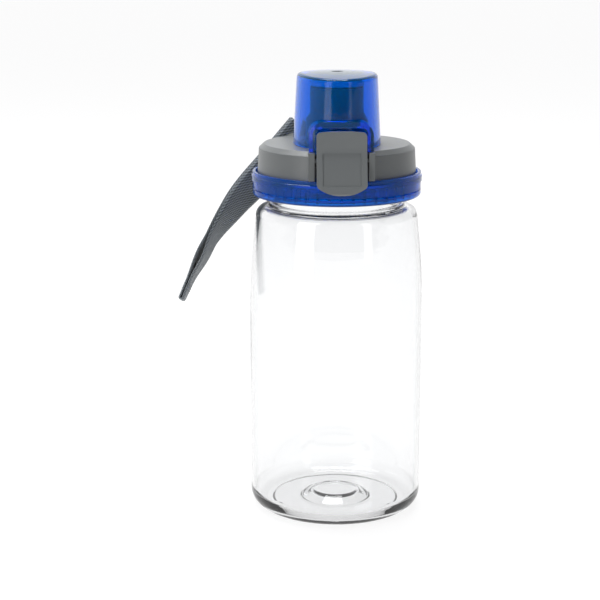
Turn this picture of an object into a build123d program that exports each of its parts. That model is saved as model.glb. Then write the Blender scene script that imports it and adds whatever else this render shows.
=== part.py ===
"""Clear drinking bottle with a screw lid, a latched flip cap and a webbing carry strap.

Millimetres, +Z up.  The origin is the centre of the base, on the surface that the
bottle stands on, and the latch faces -Y.
"""
from build123d import *
from math import cos, hypot, radians, sin, tan
import os

# ---- bottle body -------------------------------------------------------------
body_radius = 36.5
body_wall = 1.7
base_corner = 7.0
base_ring = 10.2
base_step = 0.8
punt_radius = 13.5
punt_height = 3.2
floor_thickness = 2.4
taper_from = 102.0
taper_blend = 280.0
shoulder_height = 130.7
shoulder_inset = 3.05
shoulder_round = 4.6
neck_radius = 26.4
neck_wall = 1.8
neck_length = 17.8
bead_width = 1.9
bead_height = 0.9

# ---- screw thread ------------------------------------------------------------
thread_pitch = 4.5
thread_depth = 1.2
thread_root = 1.7
thread_crest = 0.8
thread_sink = 0.3
thread_turns = 1.6
thread_top_gap = 2.4
thread_clearance = 0.4

# ---- lid collar --------------------------------------------------------------
skirt_wall = 1.6
skirt_lift = 0.6
rib_reach = 4.0
rib_count = 44
rib_thickness = 0.9
rib_lift = 1.2
collar_wall = 1.5
collar_height = 10.1
collar_neck_show = 4.3
collar_round = 1.3
flange_width = 0.4
flange_slope = 0.3
flange_bottom_drop = 4.1
flange_top_drop = 1.5
groove_rise = 3.0
groove_width = 0.6
groove_depth = 0.45
web_drop = 2.0
web_thickness = 1.5
deck_thickness = 1.6
gasket_thickness = 1.7
gasket_width = 3.6
gasket_gap = 0.3
# How far pieces of one moulding run into each other, so that they fuse.
overlap = 0.3
# Length of the plain bars and blocks that trim others, more than the bottle's height.
trim_length = 400.0

# ---- lid shroud --------------------------------------------------------------
gutter = 0.5
shroud_draft = 0.7
shroud_rise = 11.4
shroud_chamfer_rise = 1.9
shroud_chamfer_run = 2.1
shroud_wall = 1.6
shroud_plate = 1.6
notch_wall = 1.0
notch_inset = 3.7

# ---- spout -------------------------------------------------------------------
spout_radius = 11.4
spout_wall = 2.4
spout_shoulder = 1.8
spout_rise = 23.5
spout_shoulder_rise = 12.8
spout_shoulder_length = 3.0
spout_flange_width = 5.2
spout_hole_clearance = 0.4
washer_thickness = 0.8
spigot_clearance = 0.25
spigot_wall = 1.6

# ---- vent valve --------------------------------------------------------------
vent_gap = 0.7
vent_head = 2.4
vent_head_height = 0.8
vent_stem = 1.4
vent_bulb = 1.9
vent_bulb_height = 1.4

# ---- latch -------------------------------------------------------------------
latch_width = 20.0
latch_top_rise = 8.6
latch_foot_drop = 4.9
latch_thickness = 2.1
latch_stand = 0.7
latch_knee_stand = 0.6
latch_knee_drop = 0.5
latch_corner = 1.7
latch_top_bow = 0.7
latch_bottom_sag = 3.4
latch_side_gap = 0.8
latch_lip_clearance = 2.2
pad_margin = 2.35
pad_height = 12.6
pad_depth = 0.4
latch_pivot_drop = 3.2
latch_pin_radius = 0.9
latch_pin_inset = 1.8
latch_boss_radius = 1.9
latch_boss_length = 2.6
pin_clearance = 0.05
jamb_width = 2.4
jamb_inset = 0.2
jamb_thickness = 5.0
jamb_lift = 0.3
jamb_pin_depth = 1.8
hook_reach = 0.6
hook_height = 1.5
hook_gap = 0.2
hook_width = 9.0
latch_spring_radius = 1.7
latch_spring_wire = 0.25
latch_spring_turns = 3.5
latch_spring_drop = 6.0

# ---- flip cap ----------------------------------------------------------------
cap_side_gap = 3.15
cap_front_stretch = 9.0
cap_back_inset = 1.15
cap_over_spout = 5.7
cap_draft = 1.55
cap_dome_radius = 260.0
cap_wall = 1.8
cap_top = 2.2
cap_edge = 1.8
cap_seat_gap = 0.15
arch_band = 2.5
arch_side_gap = 0.35
arch_top_gap = 1.1
arch_round = 6.0
arch_stand = 0.1
bar_height = 2.0
bar_depth = 1.8
bar_lift = 1.6
bar_gap = 0.8
seal_margin = 0.1
seal_gap = 0.1
seal_recess = 0.8
seal_socket_wall = 1.1

# ---- cap hinge ---------------------------------------------------------------
hinge_inset = 4.1
hinge_lift = 2.4
hinge_pin_radius = 1.0
hinge_half_length = 10.3
knuckle_radius = 2.2
knuckle_outer = 8.0
knuckle_inner = 4.2
ear_gap = 0.2
tail_thickness = 2.2
tail_lift = 0.4
hinge_spring_wire = 0.3
hinge_spring_turns = 4

# ---- carry strap -------------------------------------------------------------
strap_angle_deg = 120.0
strap_width = 15.0
strap_thickness = 2.6
strap_clearance = 0.4
strap_pivot_drop = 3.9
stud_radius = 2.0
stud_tip_radius = 1.6
stud_tip_length = 4.0
stud_boss_radius = 4.2
stud_head_radius = 4.6
stud_head_height = 1.6
stud_slot = 0.9
stud_clearance = 0.1
washer_radius = 5.4
strap_washer_thickness = 0.5

# ---- radii and reaches worked out from the sizes above -------------------------
base_step_radius = body_radius - base_ring
shoulder_radius = body_radius - shoulder_inset
bead_radius = neck_radius + bead_width
skirt_bore = neck_radius + thread_depth + thread_clearance
skirt_outer = skirt_bore + skirt_wall
lip_inner = skirt_outer + rib_reach
collar_radius = lip_inner + collar_wall
flange_radius = collar_radius + flange_width
shroud_radius = lip_inner - gutter
spout_bore = spout_radius - spout_wall
spout_base_radius = spout_radius + spout_shoulder
spout_flange_radius = spout_base_radius + spout_flange_width
spigot_hole = spout_bore + spigot_wall + spigot_clearance
vent_offset = spout_flange_radius + vent_head + vent_gap
cap_half_width = spout_base_radius + cap_wall + cap_side_gap
cap_front_reach = cap_half_width + cap_front_stretch
cap_back_reach = cap_half_width - cap_back_inset
seal_radius = spout_radius + seal_margin
arch_face = shroud_radius + arch_stand
arch_half_width = latch_width / 2 + arch_side_gap + arch_band
latch_face = shroud_radius + latch_stand
latch_knee_face = latch_face + latch_knee_stand
latch_foot_face = flange_radius + latch_lip_clearance + latch_thickness
bar_front = latch_face - latch_thickness - bar_gap
jamb_face = latch_knee_face - jamb_inset
notch_back = shroud_radius - notch_inset
notch_half = latch_width / 2 + latch_side_gap
pad_width = latch_width - 2 * pad_margin
pivot_reach = latch_knee_face - latch_pin_inset
hinge_reach = shroud_radius - hinge_inset
strap_standoff = flange_radius + strap_clearance

# ---- heights worked out from the sizes above -----------------------------------
neck_top = shoulder_height + neck_length
gasket_top = neck_top + gasket_thickness
deck_top = gasket_top + deck_thickness
collar_bottom = shoulder_height + collar_neck_show
collar_top = collar_bottom + collar_height
web_top = collar_top - web_drop
shroud_top = collar_top + shroud_rise
plate_underside = shroud_top - shroud_plate
pivot_height = shroud_top - latch_pivot_drop
latch_knee = shroud_top - latch_knee_drop
latch_top = shroud_top + latch_top_rise
latch_bottom = collar_top - latch_foot_drop
arch_rise = latch_top_rise + arch_top_gap + arch_band
spout_top = shroud_top + spout_rise
cap_bottom = shroud_top + cap_seat_gap
cap_height = spout_rise + cap_over_spout
cap_inner_top = cap_bottom + cap_height - cap_top
bar_bottom = cap_bottom + bar_lift
seal_bottom = spout_top + seal_gap
hinge_height = shroud_top + hinge_lift
stud_height = shroud_top - strap_pivot_drop


def rounded_face(corners):
    """Closed flat face from (x, y, rounding) corners, a rounding of 0 being sharp."""
    edges = []
    ends = []
    count = len(corners)
    for index, (x, y, rounding) in enumerate(corners):
        if rounding == 0:
            ends.append(((x, y), (x, y)))
            continue
        before = corners[index - 1]
        after = corners[(index + 1) % count]
        back = Vector(before[0] - x, before[1] - y).normalized()
        ahead = Vector(after[0] - x, after[1] - y).normalized()
        half = radians(back.get_angle(ahead)) / 2
        run = rounding / tan(half)
        bisector = (back + ahead).normalized()
        depth = rounding / sin(half) - rounding
        start = (x + back.X * run, y + back.Y * run)
        middle = (x + bisector.X * depth, y + bisector.Y * depth)
        end = (x + ahead.X * run, y + ahead.Y * run)
        edges.append(ThreePointArc(start, middle, end))
        ends.append((start, end))
    for index in range(count):
        start = ends[index][1]
        end = ends[(index + 1) % count][0]
        if hypot(end[0] - start[0], end[1] - start[1]) > 1e-6:
            edges.append(Line(start, end))
    return make_face(edges)


def turned(corners):
    """Solid of revolution about Z from (radius, height, rounding) corners."""
    return revolve(Plane.XZ * rounded_face(corners), Axis.Z)


def tube(outer, inner, bottom, top):
    return turned([(inner, bottom, 0), (outer, bottom, 0), (outer, top, 0), (inner, top, 0)])


def block(x_range, y_range, z_range):
    size = [high - low for low, high in (x_range, y_range, z_range)]
    middle = [(high + low) / 2 for low, high in (x_range, y_range, z_range)]
    return Pos(*middle) * Box(*size)


def rod_x(radius, x_from, x_to, y, z):
    """Round bar along X."""
    middle = (x_from + x_to) / 2
    return Pos(middle, y, z) * Rot(0, 90, 0) * Cylinder(radius, x_to - x_from)


def coil(radius, wire, pitch, turns):
    """Round wire wound about Z, starting at height 0."""
    path = Helix(pitch, pitch * turns, radius)
    section = Plane(path @ 0, z_dir=path % 0) * Circle(wire)
    return sweep(section, path=path, is_frenet=True)


def thread_ridge(root_radius, start_height, outward):
    """Trapezoid thread on a cylinder, its root sunk into the wall."""
    side = 1 if outward else -1
    path = Helix(thread_pitch, thread_pitch * thread_turns, root_radius)
    outline = Polyline(
        (root_radius - side * thread_sink, -thread_root / 2),
        (root_radius + side * thread_depth, -thread_crest / 2),
        (root_radius + side * thread_depth, thread_crest / 2),
        (root_radius - side * thread_sink, thread_root / 2),
        close=True,
    )
    ridge = sweep(Plane.XZ * make_face(outline), path=path, is_frenet=True)
    return Pos(0, 0, start_height) * ridge


neck_thread_start = neck_top - thread_top_gap - thread_pitch * thread_turns
lid_thread_start = neck_thread_start - thread_pitch / 2


def make_bottle_body():
    """Blow-moulded vessel with a push-up base and a threaded neck."""
    outer = turned([
        (0, punt_height, 0),
        (punt_radius * 0.7, punt_height, 2),
        (punt_radius, base_step, 1),
        (base_step_radius, base_step, 0.3),
        (base_step_radius + base_step, 0, 0.3),
        (body_radius, 0, base_corner),
        (body_radius, taper_from, taper_blend),
        (shoulder_radius, shoulder_height, shoulder_round),
        (bead_radius, shoulder_height, 0.3),
        (bead_radius, shoulder_height + bead_height, 0.3),
        (neck_radius, shoulder_height + bead_height, 0.4),
        (neck_radius, neck_top, 0.4),
        (0, neck_top, 0),
    ])
    floor = base_step + floor_thickness
    inner = turned([
        (0, punt_height + floor_thickness, 0),
        (punt_radius * 0.7, punt_height + floor_thickness, 3),
        (punt_radius + body_wall, floor, 2),
        (body_radius - body_wall, floor, base_corner - body_wall),
        (body_radius - body_wall, taper_from, taper_blend),
        (shoulder_radius - body_wall, shoulder_height - body_wall, shoulder_round - body_wall),
        (neck_radius - neck_wall, shoulder_height - body_wall, 0.8),
        (neck_radius - neck_wall, neck_top + 1, 0),
        (0, neck_top + 1, 0),
    ])
    return outer + thread_ridge(neck_radius, neck_thread_start, True) - inner


def make_neck_gasket():
    """Flat silicone ring that the bottle's lip presses against the deck."""
    outer = skirt_bore - gasket_gap
    return tube(outer, outer - gasket_width, neck_top, gasket_top)


def make_lid_collar():
    """Threaded inner skirt and deck, ribs, and a smooth outer skirt in one moulding."""
    outer_skirt = turned([
        (lip_inner, collar_bottom, 0.3),
        (collar_radius, collar_bottom, collar_round),
        (collar_radius, collar_bottom + groove_rise - groove_width / 2, 0),
        (collar_radius - groove_depth, collar_bottom + groove_rise, 0),
        (collar_radius, collar_bottom + groove_rise + groove_width / 2, 0),
        (collar_radius, collar_top - flange_bottom_drop, 0),
        (flange_radius, collar_top - flange_bottom_drop + flange_slope, 0.1),
        (flange_radius, collar_top - flange_top_drop - flange_slope, 0.1),
        (collar_radius, collar_top - flange_top_drop, 0),
        (collar_radius, collar_top, 0.4),
        (lip_inner, collar_top, 0.4),
    ])
    web = tube(lip_inner + overlap, skirt_outer - overlap, web_top - web_thickness, web_top)
    skirt = thread_ridge(skirt_bore, lid_thread_start, False) + turned([
        (skirt_bore, collar_bottom + skirt_lift, 0.3),
        (skirt_outer, collar_bottom + skirt_lift, 0.3),
        (skirt_outer, deck_top, 0.6),
        (spigot_hole, deck_top, 0),
        (spigot_hole, gasket_top, 0),
        (skirt_bore, gasket_top, 0),
    ])
    rib_ring = Circle(lip_inner + overlap) - Circle(skirt_outer - overlap)
    spokes = PolarLocations((lip_inner + skirt_outer) / 2, rib_count) * Rectangle(
        rib_reach + 2, rib_thickness)
    rib_bottom = collar_bottom + rib_lift
    ribs = extrude(rib_ring & Sketch(children=list(spokes)), web_top - rib_bottom - overlap)
    ribs = Pos(0, 0, rib_bottom) * ribs
    vent = Pos(0, vent_offset, (deck_top + gasket_top) / 2) * Cylinder(vent_stem, 2 * deck_thickness)
    return skirt + web + ribs + outer_skirt - vent


def make_lid_shroud():
    """Grey cover that carries the latch in front and the cap hinge behind."""
    top_wall = shroud_radius - shroud_draft
    rim = top_wall - shroud_chamfer_run
    hole = spout_base_radius + spout_hole_clearance
    shell = turned([
        (shroud_radius - shroud_wall, web_top, 0),
        (shroud_radius, web_top, 0),
        (top_wall, shroud_top - shroud_chamfer_rise, 0.5),
        (rim, shroud_top, 0.5),
        (hole, shroud_top, 0.3),
        (hole, plate_underside, 0),
        (top_wall - shroud_wall - 0.6, plate_underside, 1),
    ])
    shell -= block((-notch_half, notch_half), (-2 * shroud_radius, -notch_back),
                   (web_top - 1, shroud_top + 1))
    jamb_bottom = collar_top + jamb_lift
    back = jamb_thickness - jamb_face
    for side in (-1, 1):
        near = side * notch_half
        far = side * (notch_half + jamb_width)
        span = (min(near, far), max(near, far))
        shell += block(span, (-jamb_face, back), (jamb_bottom, shroud_top))
        low = block(span, (-shroud_radius, back), (web_top, jamb_bottom + overlap))
        shell += low & Cylinder(shroud_radius, trim_length)
    shell += block((-notch_half - overlap, notch_half + overlap),
                   (-skirt_outer - notch_wall, -skirt_outer - overlap),
                   (web_top, pivot_height - latch_boss_radius - latch_pin_radius))
    shell -= rod_x(latch_pin_radius, -notch_half - jamb_pin_depth, notch_half + jamb_pin_depth,
                   -pivot_reach, pivot_height)
    shell += hinge_ears()
    boss_length = strap_standoff - shroud_radius + shroud_wall
    boss = Cylinder(stud_boss_radius, boss_length)
    shell += strap_place(0, 0, strap_standoff - boss_length / 2) * boss
    screw_hole = Cylinder(stud_tip_radius, 2 * (stud_tip_length + 1))
    return shell - strap_place(0, 0, strap_standoff) * screw_hole


def hinge_ears():
    ear_from = knuckle_outer + ear_gap
    ears = None
    for side in (-1, 1):
        low = side * ear_from
        high = side * hinge_half_length
        span = (min(low, high), max(low, high))
        barrel = rod_x(knuckle_radius, span[0], span[1], hinge_reach, hinge_height)
        foot = block(span, (hinge_reach - knuckle_radius, hinge_reach + knuckle_radius),
                     (plate_underside, hinge_height))
        foot &= Cylinder(shroud_radius - shroud_draft - 0.2, trim_length)
        ear = barrel + foot
        ears = ear if ears is None else ears + ear
    return ears - rod_x(hinge_pin_radius, -hinge_half_length - 1, hinge_half_length + 1,
                        hinge_reach, hinge_height)


def make_spout():
    """Mouthpiece with a flange held between the washer and the shroud's plate."""
    bottom = deck_top + washer_thickness
    shoulder = shroud_top + spout_shoulder_rise
    return turned([
        (spout_bore, gasket_top + spigot_clearance, 0),
        (spout_bore + spigot_wall, gasket_top + spigot_clearance, 0.3),
        (spout_bore + spigot_wall, bottom, 0),
        (spout_flange_radius, bottom, 0),
        (spout_flange_radius, plate_underside, 0),
        (spout_base_radius, plate_underside, 0),
        (spout_base_radius, shoulder - spout_shoulder_length, 1.5),
        (spout_radius, shoulder, 3),
        (spout_radius, spout_top, 0.8),
        (spout_bore, spout_top, 0.6),
    ])


def make_spout_washer():
    return tube(spout_flange_radius, spigot_hole, deck_top, deck_top + washer_thickness)


def make_vent_valve():
    """Mushroom valve that lets air in as the drink goes out."""
    return Pos(0, vent_offset, 0) * turned([
        (0, gasket_top - vent_bulb_height, 0),
        (vent_bulb * 0.4, gasket_top - vent_bulb_height, 0.2),
        (vent_bulb, gasket_top, 0),
        (vent_stem, gasket_top, 0),
        (vent_stem, deck_top, 0),
        (vent_head, deck_top, 0),
        (vent_head, deck_top + vent_head_height, 0.4),
        (0, deck_top + vent_head_height, 0),
    ])


def latch_section():
    """Side view of the latch plate, its lower end standing out past the collar."""
    return rounded_face([
        (latch_thickness - latch_face, latch_top, 0.8),
        (-latch_face, latch_top, 0.8),
        (-latch_knee_face, latch_knee, 20),
        (-latch_foot_face, latch_bottom, 0.9),
        (latch_thickness - latch_foot_face, latch_bottom, 0.6),
        (latch_thickness - latch_knee_face, latch_knee, 18),
    ])


def latch_front():
    """Front view of the latch plate: a bowed top and a rounder bottom edge."""
    half = latch_width / 2
    top_corner = latch_top - latch_top_bow
    bottom_corner = latch_bottom + latch_bottom_sag
    outline = [
        ThreePointArc((-half, top_corner), (0, latch_top), (half, top_corner)),
        Line((half, top_corner), (half, bottom_corner)),
        ThreePointArc((half, bottom_corner), (0, latch_bottom), (-half, bottom_corner)),
        Line((-half, bottom_corner), (-half, top_corner)),
    ]
    face = make_face(outline)
    return fillet(face.vertices(), latch_corner)


def make_latch_button():
    """Rocker plate: pressing its lower half draws the hook off the cap."""
    half = latch_width / 2
    plate = extrude(Plane.YZ * latch_section(), half, both=True)
    plate &= extrude(Plane.XZ * latch_front(), trim_length, dir=(0, -1, 0))
    skin = extrude(Plane.YZ * latch_section(), half, both=True)
    pad = block((-pad_width / 2, pad_width / 2), (-trim_length, 0),
                (shroud_top - pad_height, shroud_top))
    plate -= pad & (skin - Pos(0, pad_depth, 0) * skin)
    for side in (-1, 1):
        outer = side * half
        inner = side * (half - latch_boss_length)
        plate += rod_x(latch_boss_radius, min(outer, inner), max(outer, inner),
                       -pivot_reach, pivot_height)
    plate -= rod_x(latch_pin_radius + pin_clearance, -half - 1, half + 1,
                   -pivot_reach, pivot_height)
    inner_face = latch_face - latch_thickness
    hook_bottom = bar_bottom + bar_height + hook_gap
    plate += block((-hook_width / 2, hook_width / 2), (-inner_face - overlap, hook_reach - bar_front),
                   (hook_bottom, hook_bottom + hook_height))
    return plate


def make_latch_pin():
    end = notch_half + jamb_pin_depth - 0.1
    return rod_x(latch_pin_radius, -end, end, -pivot_reach, pivot_height)


def make_latch_spring():
    """Small compression spring between the notch's back wall and the latch."""
    seat = skirt_outer + notch_wall + latch_spring_wire
    height = pivot_height - latch_spring_drop
    slope = (latch_foot_face - latch_knee_face) / (latch_knee - latch_bottom)
    nearest = latch_knee_face - latch_thickness + (latch_knee - height - latch_spring_radius) * slope
    length = nearest - seat - 3 * latch_spring_wire
    wire = coil(latch_spring_radius, latch_spring_wire, length / latch_spring_turns, latch_spring_turns)
    return Pos(0, -seat, height) * Rot(90, 0, 0) * wire


def cap_outline(inset):
    """Plan of the flip cap: an oval that reaches further forward than back."""
    half = cap_half_width - inset
    front_half = Pos(0, -trim_length / 2, 0) * Rectangle(trim_length, trim_length)
    back_half = Pos(0, trim_length / 2, 0) * Rectangle(trim_length, trim_length)
    front = Ellipse(half, cap_front_reach - inset) & front_half
    return front + (Ellipse(half, cap_back_reach - inset) & back_half)


def cap_block(inset, bottom, height):
    """Drafted block on the cap's plan, drawn in by the same slope all round."""
    draft = cap_draft * height / cap_height
    foot = cap_draft * (bottom - cap_bottom) / cap_height
    return loft([
        Pos(0, 0, bottom) * cap_outline(inset + foot),
        Pos(0, 0, bottom + height) * cap_outline(inset + foot + draft),
    ])


def make_flip_cap():
    """Clear blue hood over the spout, with an arch that the latch closes into."""
    hood = cap_block(0, cap_bottom, cap_height + 3)
    hood &= Pos(0, 0, cap_bottom + cap_height - cap_dome_radius) * Sphere(cap_dome_radius)
    hood = fillet(hood.faces().sort_by(Axis.Z)[-1].edges(), cap_edge)
    hood += arch_block()
    hood -= cap_block(cap_wall, cap_bottom - 1, cap_inner_top - cap_bottom + 1)
    hood += latch_bar()
    hood += tail()
    socket_bore = seal_radius + seal_margin
    return hood + tube(socket_bore + seal_socket_wall, socket_bore,
                       cap_inner_top - seal_recess, cap_inner_top + overlap)


def arch_outline(half, rise, rounding):
    return rounded_face([
        (-half, cap_seat_gap, 0),
        (half, cap_seat_gap, 0),
        (half, rise, rounding),
        (-half, rise, rounding),
    ])


def arch_block():
    """Arch standing forward from the hood to the lid's own front."""
    outer = Plane.XZ * arch_outline(arch_half_width, arch_rise, arch_round)
    inner = Plane.XZ * arch_outline(
        arch_half_width - arch_band, arch_rise - arch_band, arch_round - arch_band)
    bonnet = Pos(0, 0, shroud_top) * extrude(outer, 2 * arch_face, dir=(0, -1, 0))
    tunnel = Pos(0, 0, shroud_top) * extrude(inner, 2 * arch_face, dir=(0, -1, 0))
    tunnel -= cap_block(0, cap_bottom - 1, cap_height)
    return (bonnet & Cylinder(arch_face, trim_length)) - tunnel


def latch_bar():
    """Crossbar that the latch's hook holds down."""
    half = arch_half_width - arch_band + overlap
    return block((-half, half), (-bar_front, bar_depth - bar_front),
                 (bar_bottom, bar_bottom + bar_height))


def tail():
    """Arm from the back of the hood to the hinge knuckles."""
    start = cap_back_reach - cap_wall
    low = cap_bottom + tail_lift
    high = low + tail_thickness
    arm = block((-knuckle_outer, knuckle_outer), (start, hinge_reach), (low, high))
    arm -= block((-knuckle_inner, knuckle_inner), (hinge_reach - 2 * knuckle_radius, 2 * hinge_reach),
                 (low - 1, high + 1))
    for side in (-1, 1):
        near = side * knuckle_inner
        far = side * knuckle_outer
        arm += rod_x(knuckle_radius, min(near, far), max(near, far), hinge_reach, hinge_height)
    hole = rod_x(hinge_pin_radius + pin_clearance, -knuckle_outer - 1, knuckle_outer + 1,
                 hinge_reach, hinge_height)
    return arm - hole


def make_spout_seal():
    """Silicone pad in the cap's roof that closes the spout's mouth."""
    return turned([
        (0, seal_bottom, 0),
        (seal_radius, seal_bottom, 0.5),
        (seal_radius, cap_inner_top, 0.2),
        (0, cap_inner_top, 0),
    ])


def make_hinge_pin():
    return rod_x(hinge_pin_radius, -hinge_half_length + 0.1, hinge_half_length - 0.1,
                 hinge_reach, hinge_height)


def make_hinge_spring():
    """Torsion spring wound on the hinge pin between the cap's knuckles."""
    radius = hinge_pin_radius + 0.25 + hinge_spring_wire
    length = 2 * knuckle_inner - 1.6
    wire = coil(radius, hinge_spring_wire, length / hinge_spring_turns, hinge_spring_turns)
    return Pos(-length / 2, hinge_reach, hinge_height) * Rot(0, 90, 0) * wire


def strap_place(along, height, out):
    """Place in the strap's own frame: along the lid's tangent, up, and outwards."""
    angle = radians(strap_angle_deg)
    normal = Vector(cos(angle), sin(angle), 0)
    tangent = Vector(-sin(angle), cos(angle), 0)
    spot = tangent * along + normal * out + Vector(0, 0, stud_height + height)
    return Location(Plane(origin=spot, x_dir=tangent, z_dir=normal))


def strap_stations():
    """Centre line of the hanging strap: along, height from the stud, twist in degrees."""
    return [
        (-5.8, 5.5, 0),
        (8.0, -7.6, 0),
        (11.0, -10.3, 2),
        (19.2, -17.2, 8),
        (25.5, -22.8, 16),
        (31.3, -28.9, 26),
        (36.0, -34.2, 35),
        (40.2, -39.8, 42),
        (44.2, -46.0, 48),
        (48.4, -53.4, 52),
        (53.2, -63.1, 55),
    ]


def make_carry_strap():
    """Doubled webbing, hung from the stud and turning edge-on towards its fold."""
    stations = strap_stations()
    middle_out = strap_standoff + strap_thickness / 2
    sections = []
    for index, (along, height, twist) in enumerate(stations):
        before = stations[max(index - 1, 0)]
        after = stations[min(index + 1, len(stations) - 1)]
        run = Vector(after[0] - before[0], after[1] - before[1]).normalized()
        place = strap_place(along, height, middle_out)
        plane = Plane(place)
        forward = (plane.x_dir * run.X + plane.y_dir * run.Y).normalized()
        across = plane.z_dir.cross(forward).normalized()
        turn = radians(twist)
        width_dir = across * cos(turn) - plane.z_dir * sin(turn)
        section = Plane(origin=place.position, x_dir=width_dir, z_dir=forward)
        sections.append(section * Rectangle(strap_width, strap_thickness))
    band = loft(sections, ruled=True)
    hole = strap_place(0, 0, middle_out) * Cylinder(stud_radius + stud_clearance, 4 * strap_thickness)
    return band - hole


def make_strap_washer():
    out = strap_standoff + strap_thickness + strap_washer_thickness / 2
    ring = Cylinder(washer_radius, strap_washer_thickness) - Cylinder(
        stud_radius + stud_clearance, 2 * strap_washer_thickness)
    return strap_place(0, 0, out) * ring


def make_strap_stud():
    """Shouldered screw that the strap swings on."""
    head_from = strap_standoff + strap_thickness + strap_washer_thickness
    shank = Pos(0, 0, (strap_standoff + head_from) / 2) * Cylinder(
        stud_radius, head_from - strap_standoff)
    tip = Pos(0, 0, strap_standoff - stud_tip_length / 2) * Cylinder(stud_tip_radius, stud_tip_length)
    head = Pos(0, 0, head_from + stud_head_height / 2) * Cylinder(stud_head_radius, stud_head_height)
    head = fillet(head.edges().sort_by(Axis.Z)[-1], stud_head_height * 0.45)
    slot = Pos(0, 0, head_from + stud_head_height) * Box(stud_head_radius, stud_slot, stud_head_height)
    return strap_place(0, 0, 0) * (head + shank + tip - slot)


parts = {
    "bottle_body": make_bottle_body,
    "neck_gasket": make_neck_gasket,
    "lid_collar": make_lid_collar,
    "lid_shroud": make_lid_shroud,
    "spout": make_spout,
    "spout_washer": make_spout_washer,
    "vent_valve": make_vent_valve,
    "latch_button": make_latch_button,
    "latch_pin": make_latch_pin,
    "latch_spring": make_latch_spring,
    "flip_cap": make_flip_cap,
    "spout_seal": make_spout_seal,
    "hinge_pin": make_hinge_pin,
    "hinge_spring": make_hinge_spring,
    "carry_strap": make_carry_strap,
    "strap_washer": make_strap_washer,
    "strap_stud": make_strap_stud,
}

os.makedirs("parts", exist_ok=True)
for name, make in parts.items():
    export_step(make(), os.path.join("parts", name + ".step"))
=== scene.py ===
from math import cos, pi, radians, sin

import bmesh
import bpy
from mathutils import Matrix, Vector


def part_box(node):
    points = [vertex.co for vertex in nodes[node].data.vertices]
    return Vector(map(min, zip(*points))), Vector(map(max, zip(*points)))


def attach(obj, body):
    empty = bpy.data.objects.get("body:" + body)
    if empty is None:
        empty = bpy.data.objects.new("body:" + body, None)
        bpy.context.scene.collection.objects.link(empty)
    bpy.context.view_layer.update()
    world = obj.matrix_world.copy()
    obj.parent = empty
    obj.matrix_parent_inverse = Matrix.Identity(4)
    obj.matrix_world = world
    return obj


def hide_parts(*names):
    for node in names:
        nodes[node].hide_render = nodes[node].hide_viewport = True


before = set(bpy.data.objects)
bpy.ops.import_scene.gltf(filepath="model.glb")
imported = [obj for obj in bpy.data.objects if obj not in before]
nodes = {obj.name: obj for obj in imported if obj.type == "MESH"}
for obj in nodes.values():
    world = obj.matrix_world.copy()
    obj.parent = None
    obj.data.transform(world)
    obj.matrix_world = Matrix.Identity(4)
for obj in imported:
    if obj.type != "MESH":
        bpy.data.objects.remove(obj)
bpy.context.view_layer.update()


# ---- camera ------------------------------------------------------------------
# The bottle stands at eye level on a table: a long lens, a little to the left
# of the latch, looks down on it and leaves room at the left for the strap.
view_azimuth = radians(-3.4)
view_fall = radians(13.0)
view_turn = radians(1.34)
view_distance = 0.654
view_height = 0.2403
lens_width = 36.0
lens_length = 94.8

lens = bpy.data.cameras.new("camera")
lens.sensor_width = lens_width
lens.lens = lens_length
camera = bpy.data.objects.new("camera", lens)
camera.location = (
    view_distance * sin(view_azimuth),
    -view_distance * cos(view_azimuth),
    view_height,
)
camera.rotation_euler = (pi / 2 - view_fall, 0.0, view_azimuth + view_turn)
bpy.context.scene.collection.objects.link(camera)
bpy.context.scene.camera = camera


# ---- studio ------------------------------------------------------------------
# White table top, lit through from below, in front of a bright white wall.  The
# sides and the room in front are dimmer, so that the clear plastic gets edges.
wall_way = (-0.25, 0.97, 0.0)
wall_white = (1.08, 1.08, 1.09, 1.0)
side_grey = (0.34, 0.34, 0.35, 1.0)
room_dim = (0.10, 0.10, 0.11, 1.0)
light_bounces = 32


class Wire:
    """A node's output that can be written in sums, such as 1 - speckle * 0.3."""

    def __init__(self, tree, socket=None):
        self.tree = tree
        self.socket = socket

    def add(self, kind, settings, sockets, out=0):
        """New node: its settings first, then values or wires for its sockets."""
        node = self.tree.nodes.new("ShaderNode" + kind)
        for name, value in settings.items():
            if name == "stops":
                ramp = node.color_ramp.elements
                while len(ramp) < len(value):
                    ramp.new(1.0)
                for stop, (place, colour) in zip(ramp, value):
                    stop.position = place
                    stop.color = colour
            else:
                setattr(node, name, value)
        for name, value in sockets.items():
            if isinstance(value, Wire):
                self.tree.links.new(value.socket, node.inputs[name])
            else:
                node.inputs[name].default_value = value
        return Wire(self.tree, node.outputs[out])

    def math(self, operation, second=0.0):
        return self.add("Math", {"operation": operation}, {0: self, 1: second})

    def __add__(self, other):
        return self.math("ADD", other)

    def __radd__(self, other):
        return self.math("ADD", other)

    def __sub__(self, other):
        return self.math("SUBTRACT", other)

    def __rsub__(self, other):
        return self.add("Math", {"operation": "SUBTRACT"}, {0: other, 1: self})

    def __mul__(self, other):
        return self.math("MULTIPLY", other)

    def __rmul__(self, other):
        return self.math("MULTIPLY", other)


studio = bpy.data.worlds.new("studio")
studio.use_nodes = True
bpy.context.scene.world = studio
room = Wire(studio.node_tree)
direction = room.add("TexCoord", {}, {}, "Generated")
backward = room.add(
    "VectorMath", {"operation": "DOT_PRODUCT"}, {0: direction, 1: wall_way}, "Value")
room_colour = room.add(
    "ValToRGB",
    {"stops": [(0.30, room_dim), (0.60, side_grey), (0.93, wall_white)]},
    {0: backward * 0.5 + 0.5},
)
studio.node_tree.links.new(
    room_colour.socket, studio.node_tree.nodes["Background"].inputs["Color"])

table_reach = 30.0
table_sides = 96
table_white = (0.15, 0.15, 0.151, 1.0)
table_roughness = 0.9
table_shine = 0.1
table_glow = 0.88
table_lit = (1.0, 1.0, 1.0, 1.0)

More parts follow.
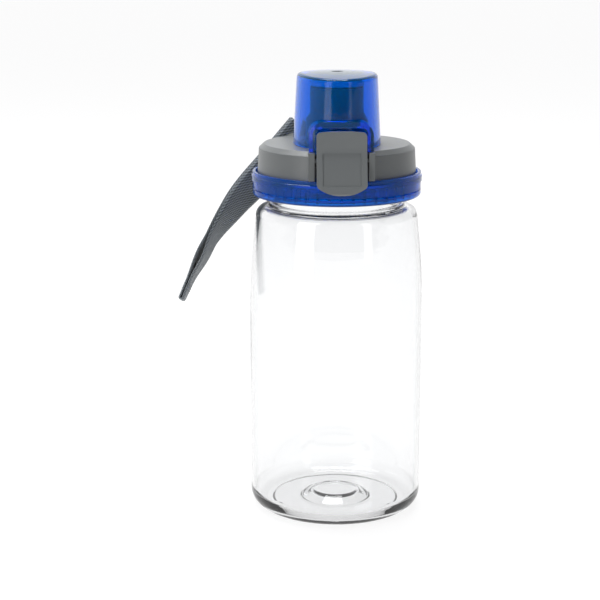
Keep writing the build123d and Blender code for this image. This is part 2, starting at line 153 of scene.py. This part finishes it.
table = bpy.data.meshes.new("table")
table_mesh = bmesh.new()
bmesh.ops.create_circle(table_mesh, cap_ends=True, segments=table_sides, radius=table_reach)
table_mesh.to_mesh(table)
table_mesh.free()
table_paint = bpy.data.materials.new("table_paint")
table_paint.use_nodes = True
painted = table_paint.node_tree.nodes["Principled BSDF"]
painted.inputs["Base Color"].default_value = table_white
painted.inputs["Roughness"].default_value = table_roughness
painted.inputs["Specular IOR Level"].default_value = table_shine
painted.inputs["Emission Strength"].default_value = table_glow
painted.inputs["Emission Color"].default_value = table_lit
table.materials.append(table_paint)
table_top = bpy.data.objects.new("table_top", table)
bpy.context.scene.collection.objects.link(table_top)

# Name, centre, size across and up, and watts.
soft_boxes = [
    ("box_above", (-0.10, 0.25, 1.20), (0.80, 0.80), 20.0),
    ("box_left", (-0.80, -0.75, 0.50), (0.55, 1.10), 6.0),
    ("box_right", (0.75, -0.85, 0.50), (0.25, 0.90), 1.2),
]
aim = Vector((0.0, 0.0, 0.12))
for name, centre, (across, up), power in soft_boxes:
    box = bpy.data.lights.new(name, "AREA")
    box.shape = "RECTANGLE"
    box.size = across
    box.size_y = up
    box.energy = power
    lamp = bpy.data.objects.new(name, box)
    lamp.location = centre
    lamp.rotation_euler = (aim - Vector(centre)).to_track_quat("-Z", "Y").to_euler()
    bpy.context.scene.collection.objects.link(lamp)

bpy.context.scene.view_settings.view_transform = "Standard"
bpy.context.scene.cycles.max_bounces = light_bounces
bpy.context.scene.cycles.transmission_bounces = light_bounces
bpy.context.scene.cycles.transparent_max_bounces = light_bounces


# ---- bottle body -------------------------------------------------------------
# Half-litre vessel, stretch blow-moulded in clear copolyester: a push-up base,
# straight sides that draw in to the shoulder, and a threaded neck.
def plain_material(name, node_names):
    """New material on the slots of some pieces, with a wire and the shader in it."""
    material = bpy.data.materials.new(name)
    material.use_nodes = True
    for node_name in node_names:
        for slot in nodes[node_name].material_slots:
            slot.material = material
    return material, Wire(material.node_tree), material.node_tree.nodes["Principled BSDF"]


def set_shader(shader, values):
    """Uniform numbers and varying wires on a shader's sockets."""
    for name, value in values.items():
        if isinstance(value, Wire):
            value.tree.links.new(value.socket, shader.inputs[name])
        else:
            shader.inputs[name].default_value = value


clear_plastic, wire, shader = plain_material("clear_copolyester_shell", ["bottle_body"])
place = wire.add("TexCoord", {}, {}, "Object")
# The parison stretches down the bottle, so its faint waves are long and narrow.
drawn = wire.add("Mapping", {}, {"Vector": place, "Scale": (1.0, 1.0, 0.25)})
waves = wire.add("TexNoise", {}, {"Vector": drawn, "Scale": 55.0, "Detail": 1.0})
handling = wire.add("TexNoise", {}, {"Vector": place, "Scale": 900.0, "Detail": 3.0})
set_shader(shader, {
    "Base Color": (0.988, 0.992, 0.994, 1.0),
    "Roughness": 0.012 + handling * 0.02,
    "IOR": 1.54,
    "Transmission Weight": 1.0,
    "Normal": wire.add("Bump", {}, {"Strength": 0.12, "Distance": 0.0006, "Height": waves}),
})
# The wall is clear face-on and greyer where it is looked along: this grey absorption is painted
# shade, standing in for the dim room that the clear wall's edges pick up.
painted_edge_shade = (0.50, 0.50, 0.51, 1.0)
painted_shade_density = 50.0
depth = wire.add(
    "VolumeAbsorption", {}, {"Color": painted_edge_shade, "Density": painted_shade_density})
clear_plastic.node_tree.links.new(
    depth.socket, clear_plastic.node_tree.nodes["Material Output"].inputs["Volume"])


# ---- neck gasket, washer and vent valve --------------------------------------
# Soft rings cut from milky silicone, which seal the bottle's lip and the foot
# of the spout, and the umbrella valve that lets air in while drinking.
milky, wire, shader = plain_material(
    "milky_silicone", ["neck_gasket", "spout_washer", "vent_valve"])
place = wire.add("TexCoord", {}, {}, "Object")
cloud = wire.add("TexNoise", {}, {"Vector": place, "Scale": 300.0, "Detail": 2.0})
set_shader(shader, {
    "Base Color": wire.add("Mix", {"data_type": "RGBA"}, {
        0: cloud, 6: (0.66, 0.70, 0.73, 1.0), 7: (0.78, 0.81, 0.83, 1.0)}, 2),
    "Roughness": 0.42 + cloud * 0.12,
    "IOR": 1.41,
    "Transmission Weight": 0.25,
})


# ---- collar and flip cap -----------------------------------------------------
# Both are injection-moulded in blue tinted clear copolyester.  The tint is in
# the plastic, so thick places such as the arch and the web go nearly navy.
tint_clear = (0.0, 0.52, 0.97, 1.0)
tint_deep = (0.0, 0.20, 0.72, 1.0)
tint_absorbed = (0.0, 0.50, 0.93, 1.0)
tint_density = 460.0


def tinted(name, node_name, tint, clearness, gloss, spots):
    """Blue clear plastic, dimpled at each (place, radius) spot where it was gated."""
    material, wire, shader = plain_material(name, [node_name])
    place = wire.add("TexCoord", {}, {}, "Object")
    flow = wire.add("TexNoise", {}, {"Vector": place, "Scale": 40.0, "Detail": 1.5})
    haze = wire.add("TexNoise", {}, {"Vector": place, "Scale": 1400.0, "Detail": 2.0})
    height = flow * 0.15
    shade = 1.0 - haze * 0.04
    rough = gloss + haze * 0.03
    for spot, radius in spots:
        away = wire.add("VectorMath", {"operation": "DISTANCE"}, {0: place, 1: spot}, "Value")
        mark = wire.add(
            "MapRange",
            {"interpolation_type": "SMOOTHSTEP"},
            {"Value": away, "From Min": radius * 0.55, "From Max": radius,
             "To Min": 1.0, "To Max": 0.0},
        )
        height = height - mark
        shade = shade - mark * 0.9
        rough = rough + mark * 0.6
    set_shader(shader, {
        "Base Color": wire.add("Mix", {"data_type": "RGBA"}, {
            0: shade, 6: (0.0, 0.0, 0.0, 1.0), 7: tint}, 2),
        "Roughness": rough,
        "IOR": 1.30,
        "Specular IOR Level": 0.20,
        "Transmission Weight": clearness,
        "Normal": wire.add(
            "Bump", {}, {"Strength": 0.35, "Distance": 0.0004, "Height": height}),
    })
    depth = wire.add(
        "VolumeAbsorption", {}, {"Color": tint_absorbed, "Density": tint_density})
    output = material.node_tree.nodes["Material Output"]
    material.node_tree.links.new(depth.socket, output.inputs["Volume"])
    return material


cap_low, cap_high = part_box("flip_cap")
gate_radius = 0.0030
gate = (0.0, 0.0, cap_high.z)
tinted("blue_clear_collar", "lid_collar", tint_deep, 0.82, 0.05, [])
tinted("blue_clear_cap", "flip_cap", tint_clear, 0.93, 0.02, [(gate, gate_radius)])


# ---- shroud, spout and latch -------------------------------------------------
# Satin grey moulded plastic: the shroud that screws down over the collar's deck,
# the drinking spout under the cap, and the rocking button that holds the cap.
def satin_grey(name, node_names, dark, light, sheen):
    """Spark-eroded mould finish: a fine even grain over a slightly cloudy grey."""
    material, wire, shader = plain_material(name, node_names)
    place = wire.add("TexCoord", {}, {}, "Object")
    cloud = wire.add("TexNoise", {}, {"Vector": place, "Scale": 60.0, "Detail": 3.0})
    grain = wire.add("TexNoise", {}, {"Vector": place, "Scale": 5200.0, "Detail": 2.0})
    set_shader(shader, {
        "Base Color": wire.add("Mix", {"data_type": "RGBA"}, {0: cloud, 6: dark, 7: light}, 2),
        "Roughness": sheen + grain * 0.16,
        "IOR": 1.5,
        "Normal": wire.add("Bump", {}, {"Strength": 0.30, "Distance": 0.00006, "Height": grain}),
    })
    return material


satin_grey(
    "satin_grey_shroud", ["lid_shroud", "spout"],
    (0.106, 0.114, 0.115, 1.0), (0.122, 0.130, 0.131, 1.0), 0.28)
satin_grey(
    "satin_grey_latch", ["latch_button", "latch_pin"],
    (0.135, 0.145, 0.147, 1.0), (0.150, 0.160, 0.162, 1.0), 0.30)


# ---- spout seal --------------------------------------------------------------
# White silicone plug pressed into the roof of the cap, which closes the spout.
white, wire, shader = plain_material("white_silicone_seal", ["spout_seal"])
place = wire.add("TexCoord", {}, {}, "Object")
cloud = wire.add("TexNoise", {}, {"Vector": place, "Scale": 400.0, "Detail": 2.0})
set_shader(shader, {
    "Base Color": wire.add("Mix", {"data_type": "RGBA"}, {
        0: cloud, 6: (0.80, 0.81, 0.82, 1.0), 7: (0.88, 0.885, 0.89, 1.0)}, 2),
    "Roughness": 0.40 + cloud * 0.1,
    "IOR": 1.41,
})


# ---- pins, springs and strap stud --------------------------------------------
# Stainless wire for the two springs, and turned or drawn bar for the rest; the
# drawing die leaves faint lines along the wire.
steel, wire, shader = plain_material("drawn_steel", [
    "latch_spring", "hinge_pin", "hinge_spring", "strap_stud", "strap_washer"])
place = wire.add("TexCoord", {}, {}, "Object")
lengthwise = wire.add("Mapping", {}, {"Vector": place, "Scale": (0.08, 1.0, 1.0)})
lines = wire.add("TexNoise", {}, {"Vector": lengthwise, "Scale": 6000.0, "Detail": 2.0})
set_shader(shader, {
    "Base Color": wire.add("Mix", {"data_type": "RGBA"}, {
        0: lines, 6: (0.52, 0.53, 0.54, 1.0), 7: (0.64, 0.65, 0.66, 1.0)}, 2),
    "Metallic": 1.0,
    "Roughness": 0.22 + lines * 0.18,
    "Normal": wire.add("Bump", {}, {"Strength": 0.15, "Distance": 0.00002, "Height": lines}),
})


# ---- carry strap -------------------------------------------------------------
# One length of flat woven polyester webbing, folded double and sewn, with its
# two ends on the stud.  It leaves the lid flat and turns edge-on towards its fold.
strap_angle = radians(120.0)
stud_height = 0.1526
strap_middle = 0.0372
strap_width = 0.015
layer_thickness = 0.0011
layer_gap = 0.0002
slit_gap = 0.0016
slit_place = 0.80
slit_reach = 0.13
layer_steps = 90
fold_share = 0.985
fold_steps = 12
band_segments = 10
edge_round = layer_thickness * 0.45
weave_scale = 100

strap_normal = Vector((cos(strap_angle), sin(strap_angle), 0.0))
strap_tangent = Vector((-sin(strap_angle), cos(strap_angle), 0.0))
# Along the lid, up from the stud, and turn in degrees.
strap_route = [
    (-0.0058, 0.0055, 0.0),
    (0.0080, -0.0076, 0.0),
    (0.0110, -0.0103, 2.0),
    (0.0192, -0.0172, 8.0),
    (0.0255, -0.0228, 16.0),
    (0.0313, -0.0289, 26.0),
    (0.0360, -0.0342, 35.0),
    (0.0402, -0.0398, 42.0),
    (0.0442, -0.0460, 48.0),
    (0.0489, -0.0536, 52.0),
    (0.0545, -0.0639, 55.0),
]


def route_point(share):
    """Smooth point on the strap's route at a share of it: along, up and turn."""
    place = min(max(share, 0.0), 1.0) * (len(strap_route) - 1)
    index = min(int(place), len(strap_route) - 2)
    t = place - index
    before, start, end, after = (
        strap_route[min(max(index + step, 0), len(strap_route) - 1)] for step in (-1, 0, 1, 2))
    return [
        0.5 * (2 * b + (c - a) * t + (2 * a - 5 * b + 4 * c - d) * t * t
               + (3 * b - a - 3 * c + d) * t ** 3)
        for a, b, c, d in zip(before, start, end, after)
    ]


def strap_frame(share):
    """Centre, direction across the width, and face normal of the doubled strap."""
    along, up, turn = route_point(share)
    ahead = route_point(share + 0.01)
    behind = route_point(share - 0.01)
    run = Vector((ahead[0] - behind[0], ahead[1] - behind[1])).normalized()
    forward = strap_tangent * run.x + Vector((0.0, 0.0, run.y))
    across = strap_normal.cross(forward).normalized()
    turned = radians(turn)
    width = across * cos(turned) - strap_normal * sin(turned)
    centre = strap_tangent * along + strap_normal * strap_middle
    return centre + Vector((0.0, 0.0, stud_height + up)), width, width.cross(forward), forward


def layer_offset(share):
    """How far a layer's middle stands from the strap's: they part above the fold."""
    away = min(abs(share - slit_place) / slit_reach, 1.0)
    parting = slit_gap * (1 - away * away) ** 2
    return (layer_thickness + layer_gap + parting) / 2


# The band's middle surface: out along one layer, round the fold, and back.
band_line = []
for step in range(layer_steps + 1):
    share = fold_share * step / layer_steps
    centre, width, face, forward = strap_frame(share)
    band_line.append((centre + face * layer_offset(share), width, face))
for step in range(1, fold_steps):
    turn = pi * step / fold_steps
    centre, width, face, forward = strap_frame(fold_share)
    rim = face * cos(turn) + forward * sin(turn)
    band_line.append((centre + rim * layer_offset(fold_share), width, rim))
for step in range(layer_steps, -1, -1):
    share = fold_share * step / layer_steps
    centre, width, face, forward = strap_frame(share)
    band_line.append((centre - face * layer_offset(share), width, -face))

strap_mesh = bmesh.new()
strap_uv = strap_mesh.loops.layers.uv.new("weave")
section = []
for index in range(band_segments + 1):
    side = -1 + 2 * index / band_segments
    crown = layer_thickness / 2 if abs(side) < 1 else layer_thickness / 2 - edge_round
    section.append((side * strap_width / 2, crown))
section += [(across, -crown) for across, crown in reversed(section)]
rings = []
distances = [0.0]
for index, (centre, width, face) in enumerate(band_line):
    if index:
        distances.append(distances[-1] + (centre - band_line[index - 1][0]).length)
    rings.append([strap_mesh.verts.new(centre + width * w + face * t) for w, t in section])
count = len(section)
for index in range(len(rings) - 1):
    for corner in range(count):
        after = (corner + 1) % count
        quad = [rings[index][corner], rings[index][after],
                rings[index + 1][after], rings[index + 1][corner]]
        made = strap_mesh.faces.new(quad)
        for loop, (ring, spot) in zip(
                made.loops, ((0, corner), (0, after), (1, after), (1, corner))):
            loop[strap_uv].uv = (
                section[spot][0] * weave_scale, distances[index + ring] * weave_scale)
for ring, turn in ((rings[0], 1), (rings[-1], -1)):
    strap_mesh.faces.new(ring[::turn])
bmesh.ops.recalc_face_normals(strap_mesh, faces=strap_mesh.faces)
webbing = bpy.data.meshes.new("strap_webbing")
strap_mesh.to_mesh(webbing)
strap_mesh.free()
for polygon in webbing.polygons:
    polygon.use_smooth = True
strap = bpy.data.objects.new("strap_webbing", webbing)
bpy.context.scene.collection.objects.link(strap)

woven = bpy.data.materials.new("woven_webbing")
woven.use_nodes = True
wire = Wire(woven.node_tree)
shader = woven.node_tree.nodes["Principled BSDF"]
uv = wire.add("UVMap", {"uv_map": "weave"}, {})
# Slanting picks, one to the millimetre, over lengthwise ends and the yarns' fuzz.
slant = wire.add("Mapping", {}, {"Vector": uv, "Rotation": (0.0, 0.0, radians(38.0))})
picks = wire.add("TexWave", {}, {
    "Vector": slant, "Scale": 3.0, "Distortion": 0.6, "Detail": 1.0, "Detail Scale": 8.0}, 1)
ends = wire.add("TexWave", {"bands_direction": "X"}, {
    "Vector": uv, "Scale": 2.6, "Distortion": 0.3}, 1)
fuzz = wire.add("TexNoise", {}, {"Vector": uv, "Scale": 60.0, "Detail": 3.0})
yarn = picks * 0.65 + ends * 0.35
set_shader(shader, {
    "Base Color": wire.add("Mix", {"data_type": "RGBA"}, {
        0: yarn * 0.85 + fuzz * 0.15,
        6: (0.008, 0.011, 0.014, 1.0), 7: (0.330, 0.370, 0.400, 1.0)}, 2),
    "Roughness": 0.62 + fuzz * 0.2,
    "Sheen Weight": 0.25,
    "Normal": wire.add("Bump", {}, {"Strength": 0.7, "Distance": 0.0002, "Height": yarn}),
})
webbing.materials.append(woven)

# Bar tacks through both layers, below the stud and above the fold.
tack_shares = (0.185, 0.945)
tack_rows = 3
tack_row_pitch = 0.0011
tack_half_width = 0.0058
stitch_pitch = 0.0011
stitch_share = 0.84
thread_radius = 0.00016

tacks = bpy.data.curves.new("tack_rows", "CURVE")
tacks.dimensions = "3D"
for share in tack_shares:
    centre, width, face, forward = strap_frame(share)
    for row in range(tack_rows):
        for side in (-1, 1):
            lift = side * (layer_offset(share) + layer_thickness / 2)
            middle = centre + face * lift + forward * tack_row_pitch * (row - 1)
            line = tacks.splines.new("POLY")
            line.points.add(1)
            for point, end in zip(line.points, (-1, 1)):
                point.co = (*(middle + width * end * tack_half_width), 1.0)
tack_guide = bpy.data.objects.new("tack_rows", tacks)
bpy.context.scene.collection.objects.link(tack_guide)

thread = bpy.data.materials.new("tack_thread")
thread.use_nodes = True
wire = Wire(thread.node_tree)
shader = thread.node_tree.nodes["Principled BSDF"]
place = wire.add("TexCoord", {}, {}, "Object")
ply = wire.add("TexNoise", {}, {"Vector": place, "Scale": 9000.0, "Detail": 1.0})
set_shader(shader, {
    "Base Color": wire.add("Mix", {"data_type": "RGBA"}, {
        0: ply, 6: (0.030, 0.036, 0.042, 1.0), 7: (0.080, 0.092, 0.104, 1.0)}, 2),
    "Roughness": 0.45 + ply * 0.2,
    "Sheen Weight": 0.2,
})

stitcher = bpy.data.node_groups.new("bar_tack", "GeometryNodeTree")
stitcher.interface.new_socket("Rows", in_out="INPUT", socket_type="NodeSocketGeometry")
sizes_in = {}
for label, value in (("Stitch Pitch", stitch_pitch), ("Thread Radius", thread_radius)):
    socket = stitcher.interface.new_socket(label, in_out="INPUT", socket_type="NodeSocketFloat")
    sizes_in[socket.identifier] = value
socket = stitcher.interface.new_socket("Thread", in_out="INPUT", socket_type="NodeSocketMaterial")
sizes_in[socket.identifier] = thread
stitcher.interface.new_socket("Stitches", in_out="OUTPUT", socket_type="NodeSocketGeometry")


def stitch_node(kind, **settings):
    """New node in the bar tack's tree."""
    node = stitcher.nodes.new(kind)
    for name, value in settings.items():
        setattr(node, name, value)
    return node


rows_in = stitch_node("NodeGroupInput")
stitches_out = stitch_node("NodeGroupOutput")
spaced = stitch_node("GeometryNodeResampleCurve", mode="LENGTH")
bead = stitch_node("GeometryNodeMeshUVSphere")
bead.inputs["Segments"].default_value = 8
bead.inputs["Rings"].default_value = 6
bead.inputs["Radius"].default_value = 1.0
half_stitch = stitch_node("ShaderNodeMath", operation="MULTIPLY")
half_stitch.inputs[1].default_value = stitch_share / 2
stitch_size = stitch_node("ShaderNodeCombineXYZ")
stitch = stitch_node("GeometryNodeTransform")
tangent = stitch_node("GeometryNodeInputTangent")
heading = stitch_node("FunctionNodeAlignRotationToVector", axis="Z")
placed = stitch_node("GeometryNodeInstanceOnPoints")
made_real = stitch_node("GeometryNodeRealizeInstances")
coloured = stitch_node("GeometryNodeSetMaterial")
for source, output, target, entry in (
    (rows_in, "Rows", spaced, "Curve"),
    (rows_in, "Stitch Pitch", spaced, "Length"),
    (rows_in, "Stitch Pitch", half_stitch, 0),
    (rows_in, "Thread Radius", stitch_size, "X"),
    (rows_in, "Thread Radius", stitch_size, "Y"),
    (half_stitch, 0, stitch_size, "Z"),
    (bead, "Mesh", stitch, "Geometry"),
    (stitch_size, "Vector", stitch, "Scale"),
    (tangent, "Tangent", heading, "Vector"),
    (spaced, "Curve", placed, "Points"),
    (stitch, "Geometry", placed, "Instance"),
    (heading, "Rotation", placed, "Rotation"),
    (placed, "Instances", made_real, "Geometry"),
    (made_real, "Geometry", coloured, "Geometry"),
    (rows_in, "Thread", coloured, "Material"),
    (coloured, "Geometry", stitches_out, "Stitches"),
):
    stitcher.links.new(source.outputs[output], target.inputs[entry])

sewing = tack_guide.modifiers.new("bar_tack", "NODES")
sewing.node_group = stitcher
for identifier, value in sizes_in.items():
    sewing[identifier] = value
sewn = bpy.data.meshes.new_from_object(
    tack_guide.evaluated_get(bpy.context.evaluated_depsgraph_get()))
bpy.data.objects.remove(tack_guide)
tack_stitches = bpy.data.objects.new("tack_stitches", sewn)
bpy.context.scene.collection.objects.link(tack_stitches)

for sewn_piece in (strap, tack_stitches):
    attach(sewn_piece, "strap")
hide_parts("carry_strap")
